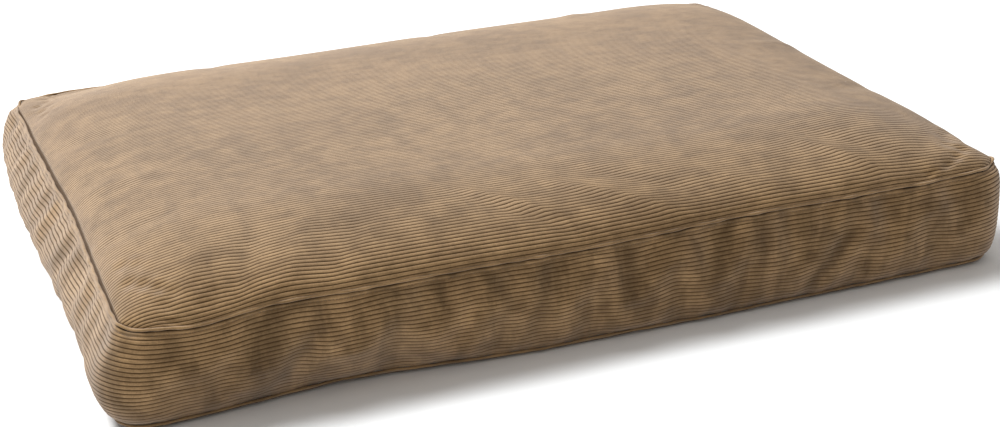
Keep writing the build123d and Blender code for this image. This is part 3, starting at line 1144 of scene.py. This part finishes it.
# %% Rib mask group
rib_tree, rib_in, rib_out = new_group(
    "Rib grooves", {"Ribs": VECTOR, "Wander": FLOAT}, {"Groove": FLOAT, "Pile": FLOAT}
)
parts = add_node(rib_tree, "ShaderNodeSeparateXYZ", {0: rib_in["Ribs"]})
slow = noise(rib_tree, rib_in["Ribs"], 0.35, 2.0)
wander = sums(rib_tree, "MULTIPLY", sums(rib_tree, "SUBTRACT", slow, 0.5), rib_in["Wander"])
spot = sums(rib_tree, "ADD", parts.outputs["Y"], wander)
to_middle = sums(rib_tree, "ABSOLUTE", sums(rib_tree, "SUBTRACT",
                 sums(rib_tree, "FRACT", spot, 0.0), 0.5), 0.0)
groove = stretch(rib_tree, to_middle, 0.30, 0.47)
tuft_place = add_node(
    rib_tree, "ShaderNodeMapping", {"Vector": rib_in["Ribs"], "Scale": (6.0, 3.0, 1.0)}
)
tufts = noise(rib_tree, tuft_place.outputs[0], 1.4, 3.0, 0.65)
feed(rib_tree, rib_out, {"Groove": groove, "Pile": tufts})
print("rib mask group", len(rib_tree.nodes), "nodes")

# %% [markdown]
# Brushing, sitting and folding press the pile one way or the other, and pressed pile looks
# lighter or darker. This shows as soft patches of several sizes, so one group mixes a broad, a
# middle and a fine noise into one mask that every pile finish can share.

# %% Brushed pile group
brush_tree, brush_in, brush_out = new_group(
    "Brushed pile", {"Place": VECTOR, "Patch size": FLOAT}, {"Patches": FLOAT, "Grain": FLOAT}
)
wide = noise(brush_tree, brush_in["Place"], brush_in["Patch size"], 2.0, 0.5)
middle_scale = sums(brush_tree, "MULTIPLY", brush_in["Patch size"], 8.0)
streak_place = add_node(
    brush_tree, "ShaderNodeMapping", {"Vector": brush_in["Place"], "Scale": (0.55, 1.0, 1.0)}
)
mottle = noise(brush_tree, streak_place.outputs[0], middle_scale, 4.0, 0.6)
both = sums(brush_tree, "ADD", sums(brush_tree, "MULTIPLY", wide, 0.4),
            sums(brush_tree, "MULTIPLY", mottle, 0.6))
patches = stretch(brush_tree, both, 0.40, 0.60)
fine_scale = sums(brush_tree, "MULTIPLY", brush_in["Patch size"], 60.0)
grain = noise(brush_tree, brush_in["Place"], fine_scale, 4.0, 0.7)
feed(brush_tree, brush_out, {"Patches": patches, "Grain": grain})
print("brushed pile group", len(brush_tree.nodes), "nodes")


# %% [markdown]
# Where the border buckles, its pile is rubbed into upright smudges, and the smudges also stand in
# as painted shade of its soft folds. The hollows between folds get painted shade and the ridges a
# little painted light. One group draws the smudges from a noise stretched down the cloth and
# deepens them with the hollows that each border vertex remembers.

# %% Upright smudges and painted fold shade group
smudge_shade_tree, smudge_shade_in, smudge_shade_out = new_group(
    "Upright smudges and painted fold shade", {"Ribs": VECTOR, "Hollow": FLOAT, "Strength": FLOAT}, {"Shade": FLOAT}
)
tall_place = add_node(
    smudge_shade_tree, "ShaderNodeMapping", {"Vector": smudge_shade_in["Ribs"], "Scale": (0.17, 0.05, 1.0)}
)
cloudy = noise(smudge_shade_tree, tall_place.outputs[0], 1.0, 3.0, 0.55, Distortion=0.6)
dark_share = sums(smudge_shade_tree, "MULTIPLY", stretch(smudge_shade_tree, cloudy, 0.47, 0.62),
                  smudge_shade_in["Strength"])
lit = sums(smudge_shade_tree, "SUBTRACT", 1.0, dark_share)
# Painted shade in fold hollows and beside seams, and a little painted light on ridges.
painted_hollow_shading = sums(smudge_shade_tree, "MULTIPLY_ADD", smudge_shade_in["Hollow"], -0.38, 1.0)
feed(smudge_shade_tree, smudge_shade_out, {"Shade": sums(smudge_shade_tree, "MULTIPLY", lit, painted_hollow_shading)})
print("smudges and painted fold shade group", len(smudge_shade_tree.nodes), "nodes")

# %% [markdown]
# Pile has a crest colour, a darker pressed colour, and a dark groove beside it, whose colour is its
# darker ground with painted shade, with a fine grain of single tufts. Seen at a low angle pile
# shows a pale sheen, because the eye meets the sides of its fibres; here that sheen is painted into
# the colour as a pale bloom. One group lays these over each other in that order.

# %% Pile colours group
pile_tree, pile_in, pile_out = new_group(
    "Pile colours",
    {"Crest": COLOUR, "Pressed": COLOUR, "Groove colour and painted shade": COLOUR, "Painted sheen": COLOUR,
     "Patches": FLOAT, "Grain": FLOAT, "Tufts": FLOAT, "Shade": FLOAT, "Facing": FLOAT,
     "Groove": FLOAT},
    {"Colour": COLOUR},
)
brushed_pile = blend_colours(pile_tree, pile_in["Patches"], pile_in["Crest"], pile_in["Pressed"])
tuft_shade = stretch(pile_tree, pile_in["Tufts"], 0.3, 0.7, 0.82, 1.14)
grain_shade = stretch(pile_tree, pile_in["Grain"], 0.3, 0.7, 0.86, 1.12)
fine_shade = sums(pile_tree, "MULTIPLY", tuft_shade, grain_shade)
full_shade = sums(pile_tree, "MULTIPLY", fine_shade, pile_in["Shade"])
grey = add_node(pile_tree, "ShaderNodeCombineColor", {i: full_shade for i in range(3)}).outputs[0]
shaded = blend_colours(pile_tree, 1.0, brushed_pile, grey, "MULTIPLY")
low_angle = sums(pile_tree, "POWER", pile_in["Facing"], 2.0)
painted_sheen_share = sums(pile_tree, "MINIMUM", sums(pile_tree, "MULTIPLY", low_angle, PAINTED_SHEEN_SHARE),
                   MOST_PAINTED_SHEEN)
with_painted_sheen = blend_colours(pile_tree, painted_sheen_share, shaded, pile_in["Painted sheen"])
# Grooves take the groove colour: their darker ground and painted shade.
whole = blend_colours(pile_tree, pile_in["Groove"], with_painted_sheen, pile_in["Groove colour and painted shade"])
feed(pile_tree, pile_out, {"Colour": whole})
print("pile colours group", len(pile_tree.nodes), "nodes")

# %% [markdown]
# The corduroy itself is light taupe on the crests and dark brown in the grooves, whose colour is
# partly painted shade. All the cloth is the same, but the long border strip is rubbed and buckled
# most, so it gets stronger smudges, part rubbed pile and part painted fold shade, than the panels
# and the zipped back.

# %% Corduroy
def new_material(name):
    """A material with its node tree, its Principled shader and its object coordinates."""
    material = bpy.data.materials.new(name)
    material.use_nodes = True
    tree = material.node_tree
    places = add_node(tree, "ShaderNodeTexCoord").outputs["Object"]
    return material, tree, tree.nodes["Principled BSDF"], places


def place_group(tree, group, inputs):
    """One of the shared groups with its inputs; gives back its outputs."""
    return add_node(tree, "ShaderNodeGroup", inputs, node_tree=group).outputs


def bump(tree, height, strength, distance):
    """A normal bumped by a fine grain; distance is the grain's height in metres."""
    inputs = {"Height": height, "Strength": strength, "Distance": distance}
    return add_node(tree, "ShaderNodeBump", inputs).outputs[0]


CREST = (0.345, 0.216, 0.104, 1)
# The groove's darker ground, with painted shade laid into it.
GROOVE_AND_SHADE = (0.070, 0.037, 0.015, 1)
PRESSED = (0.215, 0.132, 0.063, 1)
# Pale colour painted in for the pile's sheen at low angles.
PAINTED_SHEEN = (0.53, 0.443, 0.385, 1)


def corduroy_finish(name, smudge_shade_strength):
    """Corduroy with its own strength of smudges, which are part painted fold shade; every effect
    comes from the shared groups.
    """
    material, tree, shader, places = new_material(name)
    cloth_map = add_node(tree, "ShaderNodeUVMap", uv_map="cloth").outputs[0]
    hollow = add_node(tree, "ShaderNodeAttribute", attribute_name="hollow").outputs["Fac"]
    stance = add_node(tree, "ShaderNodeAttribute", attribute_name="stance").outputs["Vector"]
    broad = add_node(tree, "ShaderNodeVectorMath", {0: stance}, operation="NORMALIZE").outputs[0]
    # The broad stance's angle to the eye sets how much sheen is painted into the colour.
    facing = add_node(
        tree, "ShaderNodeLayerWeight", {"Blend": 0.5, "Normal": broad}
    ).outputs["Facing"]
    rib = place_group(tree, rib_tree, {"Ribs": cloth_map, "Wander": 0.12})
    brushed = place_group(
        tree, brush_tree, {"Place": places, "Patch size": 7.0}
    )
    smudges_and_fold_shade = place_group(
        tree, smudge_shade_tree, {"Ribs": cloth_map, "Hollow": hollow, "Strength": smudge_shade_strength}
    )
    # Where a seam's mark passes 1, the groove's dark colour covers the pile: painted seam shade.
    painted_seam_shade = sums(tree, "SUBTRACT", hollow, 1.0)
    groove = sums(tree, "MAXIMUM", rib["Groove"], painted_seam_shade)
    pile = place_group(tree, pile_tree, {
        "Crest": CREST, "Pressed": PRESSED, "Groove colour and painted shade": GROOVE_AND_SHADE, "Painted sheen": PAINTED_SHEEN,
        "Patches": brushed["Patches"], "Grain": brushed["Grain"], "Tufts": rib["Pile"],
        "Shade": smudges_and_fold_shade["Shade"], "Facing": facing, "Groove": groove,
    })
    feed(tree, shader, {
        "Base Color": pile["Colour"],
        "Roughness": stretch(tree, brushed["Patches"], 0, 1, 0.82, 0.95),
        "Sheen Weight": 0.12, "Sheen Roughness": 0.45, "Sheen Tint": (1, 0.88, 0.78, 1),
        "Specular IOR Level": 0.12, "Normal": bump(tree, rib["Pile"], 0.5, 0.0007),
    })
    return material


panel_corduroy = corduroy_finish("Taupe corduroy, calm", 0.12)
border_corduroy = corduroy_finish("Taupe corduroy, rubbed, with strong painted fold shade", 0.28)
print("corduroy finishes:", panel_corduroy.name, "and", border_corduroy.name)

# %% [markdown]
# Sewing thread is two plies twisted together, a shade darker than the cloth. Zip tape is a flat
# herringbone weave. Both are drawn by waves that lean across the piece.

# %% Woven yarns group
weave_tree, weave_in, weave_out = new_group(
    "Woven yarns",
    {"Place": VECTOR, "Lean": VECTOR, "Yarn rate": FLOAT, "Fuzz rate": FLOAT,
     "Light": COLOUR, "Dark": COLOUR},
    {"Colour": COLOUR, "Weave": FLOAT, "Fuzz": FLOAT},
)
leaning = add_node(
    weave_tree, "ShaderNodeMapping", {"Vector": weave_in["Place"], "Rotation": weave_in["Lean"]}
).outputs[0]
yarns = [
    add_node(weave_tree, "ShaderNodeTexWave",
             {"Vector": leaning, "Scale": weave_in["Yarn rate"], "Distortion": 0.6, "Detail": 1.0},
             bands_direction=direction).outputs["Fac"]
    for direction in ("X", "Z")
]
weave = sums(weave_tree, "MULTIPLY", yarns[0], yarns[1])
fuzz = noise(weave_tree, weave_in["Place"], weave_in["Fuzz rate"], 3.0)
yarn_mask = sums(weave_tree, "ADD", sums(weave_tree, "MULTIPLY", weave, 0.7),
                 sums(weave_tree, "MULTIPLY", fuzz, 0.4))
yarn_colour = blend_colours(weave_tree, yarn_mask, weave_in["Dark"], weave_in["Light"])
feed(weave_tree, weave_out, {"Colour": yarn_colour, "Weave": weave, "Fuzz": fuzz})
print("woven yarns group", len(weave_tree.nodes), "nodes")


# %% Thread, tape and lining
def woven_finish(name, light, dark, pitch, lean, rough, sheen, depth):
    """A cloth or thread finish from the yarns group; pitch is the distance between yarns."""
    material, tree, shader, places = new_material(name)
    woven = place_group(tree, weave_tree, {
        "Place": places, "Lean": lean, "Yarn rate": math.pi / (10 * pitch),
        "Fuzz rate": 1.5 / pitch, "Light": light, "Dark": dark,
    })
    feed(tree, shader, {
        "Base Color": woven["Colour"],
        "Roughness": stretch(tree, woven["Fuzz"], 0.2, 0.8, rough - 0.1, rough),
        "Sheen Weight": sheen, "Specular IOR Level": 0.25,
        "Normal": bump(tree, woven["Weave"], 0.6, depth),
    })
    return material


thread_finish = woven_finish("Brown sewing thread", (0.24, 0.165, 0.105, 1),
                             (0.10, 0.065, 0.04, 1), 0.5 * MM, (0, 0.6, 0.6), 0.7, 0.2, 0.0002)
tape_finish = woven_finish("Brown zip tape", (0.27, 0.19, 0.125, 1), (0.13, 0.088, 0.055, 1),
                           0.9 * MM, (0, 0.785, 0), 0.85, 0.15, 0.0002)
lining_finish = woven_finish("Pale lining", (0.78, 0.75, 0.70, 1), (0.6, 0.57, 0.52, 1),
                             1.2 * MM, (0, 0, 0), 0.9, 0.1, 0.0002)
fibre_finish = woven_finish("Polyester fibre", (0.9, 0.9, 0.88, 1), (0.7, 0.7, 0.68, 1),
                            4 * MM, (0.4, 0.7, 0.2), 0.95, 0.4, 0.002)

# %% [markdown]
# The coil is dyed nylon with a satin surface. The slider, pull and stops are stamped metal under
# brown enamel, which wears thin and shows brighter metal where fingers rub it.

# %% Nylon and enamel
NYLON_GRAIN, WEAR_GRAIN, FINE_GRAIN = 900.0, 420.0, 1500.0
WEAR_FROM, WEAR_FULL = 0.64, 0.76
GRAIN_HEIGHT = 0.0001


def nylon_finish(name, colour, darker):
    """Satin nylon, a little uneven in its dye."""
    material, tree, shader, places = new_material(name)
    tone = noise(tree, places, NYLON_GRAIN, 2.0)
    feed(tree, shader, {
        "Base Color": blend_colours(tree, tone, colour, darker),
        "Roughness": stretch(tree, tone, 0.2, 0.8, 0.35, 0.55),
        "Normal": bump(tree, tone, 0.2, GRAIN_HEIGHT),
    })
    return material


def enamel_finish(name, enamel, metal):
    """Enamel over metal, worn through in small spots."""
    material, tree, shader, places = new_material(name)
    wear_noise = noise(tree, places, WEAR_GRAIN, 5.0, 0.7)
    worn = stretch(tree, wear_noise, WEAR_FROM, WEAR_FULL)
    grain_noise = noise(tree, places, FINE_GRAIN, 2.0)
    feed(tree, shader, {
        "Base Color": blend_colours(tree, worn, enamel, metal),
        "Metallic": sums(tree, "MULTIPLY", worn, 0.9),
        "Roughness": stretch(tree, grain_noise, 0.2, 0.8, 0.28, 0.45),
        "Normal": bump(tree, wear_noise, 0.15, GRAIN_HEIGHT),
    })
    return material


coil_finish = nylon_finish("Brown nylon coil", (0.15, 0.10, 0.065, 1), (0.09, 0.06, 0.04, 1))
metal_finish = enamel_finish("Brown enamelled metal", (0.13, 0.085, 0.055, 1),
                             (0.36, 0.31, 0.25, 1))

# %% [markdown]
# Every new piece gets its finish here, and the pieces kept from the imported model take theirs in
# the material slots that they already have.

# %% Finishes on the pieces
calm_cloth = (top_panel, base_panel, top_lip, base_lip, lower_strip, upper_strip, joins)
FINISHES = (
    (panel_corduroy, calm_cloth), (border_corduroy, (long_strip,)), (thread_finish, threads),
    (lining_finish, skins), (fibre_finish, (stuffing,)), (coil_finish, coils),
)
for finish, pieces in FINISHES:
    for piece in pieces:
        piece.data.materials.append(finish)
KEPT = {
    "zip_tape_upper": tape_finish, "zip_tape_lower": tape_finish,
    "zip_top_stops": metal_finish, "zip_bottom_stop": metal_finish,
    "zip_slider_body": metal_finish, "zip_pull_tab": metal_finish,
}
for node, finish in KEPT.items():
    for material_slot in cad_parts[node].material_slots:
        material_slot.material = finish
print(len(FINISHES), "finishes on new pieces,", len(KEPT), "kept pieces dressed")

# %% [markdown]
# The bed lies on a plain pale floor. A large soft lamp stands high on the left, a little behind
# the bed, so the left side and the top are bright and the front is in gentle shade.

# %% Floor and light
def floor_finish():
    """A plain pale floor, a little uneven."""
    material, tree, shader, places = new_material("Pale floor")
    tone = noise(tree, places, 3.0, 2.0)
    pale, paler = (0.86, 0.86, 0.86, 1), (0.9, 0.9, 0.9, 1)
    floor_colour = blend_colours(tree, tone, pale, paler)
    feed(tree, shader, {"Base Color": floor_colour, "Roughness": 0.9})
    return material


bpy.ops.object.select_all(action="DESELECT")
bpy.ops.mesh.primitive_plane_add(size=14)
floor = bpy.context.active_object
floor.name = "floor"
floor.data.materials.append(floor_finish())


def soft_lamp(name, place, size, power, aim=(0, 0, 0.08)):
    """A square area lamp that faces the bed, a touch cooler than the room."""
    lamp = bpy.data.lights.new(name, "AREA")
    lamp.color = (0.95, 0.98, 1.0)
    lamp.shape = "SQUARE"
    lamp.size = size
    lamp.energy = power
    holder = bpy.data.objects.new(name, lamp)
    holder.location = place
    holder.rotation_euler = (Vector(aim) - Vector(place)).to_track_quat("-Z", "Y").to_euler()
    bpy.context.scene.collection.objects.link(holder)


soft_lamp("key_lamp", (-2.2, 1.8, 4.4), 2.0, 400)
soft_lamp("back_lamp", (0.6, 3.0, 2.6), 2.4, 25)
world = bpy.context.scene.world or bpy.data.worlds.new("World")
bpy.context.scene.world = world
world.use_nodes = True
sky = world.node_tree.nodes["Background"]
sky.inputs["Color"].default_value = (1, 0.975, 0.94, 1)
sky.inputs["Strength"].default_value = 0.48
bpy.context.scene.view_settings.view_transform = "Standard"

# %% [markdown]
# The camera looks from the front left, a little above the bed, with a fairly long lens so the
# far edge does not shrink too much.

# %% Camera
AZIMUTH, ELEVATION, ROLL = (math.radians(angle) for angle in (-21.54, 23.39, -1.16))
CAMERA_DISTANCE = 2.061
CAMERA_AIM = Vector((-0.0172, -0.1186, 0.054))
FRAME_WIDTH = 36
LENS = 64
eye = bpy.data.cameras.new("camera")
eye.sensor_width = FRAME_WIDTH
eye.lens = LENS
back = Vector((
    math.sin(AZIMUTH) * math.cos(ELEVATION),
    -math.cos(AZIMUTH) * math.cos(ELEVATION),
    math.sin(ELEVATION),
))
camera = bpy.data.objects.new("camera", eye)
bpy.context.scene.collection.objects.link(camera)
camera.location = CAMERA_AIM + back * CAMERA_DISTANCE
camera.rotation_mode = "QUATERNION"
upright = (-back).to_track_quat("-Z", "Y")
camera.rotation_quaternion = upright @ Quaternion((0, 0, 1), ROLL)
bpy.context.scene.camera = camera
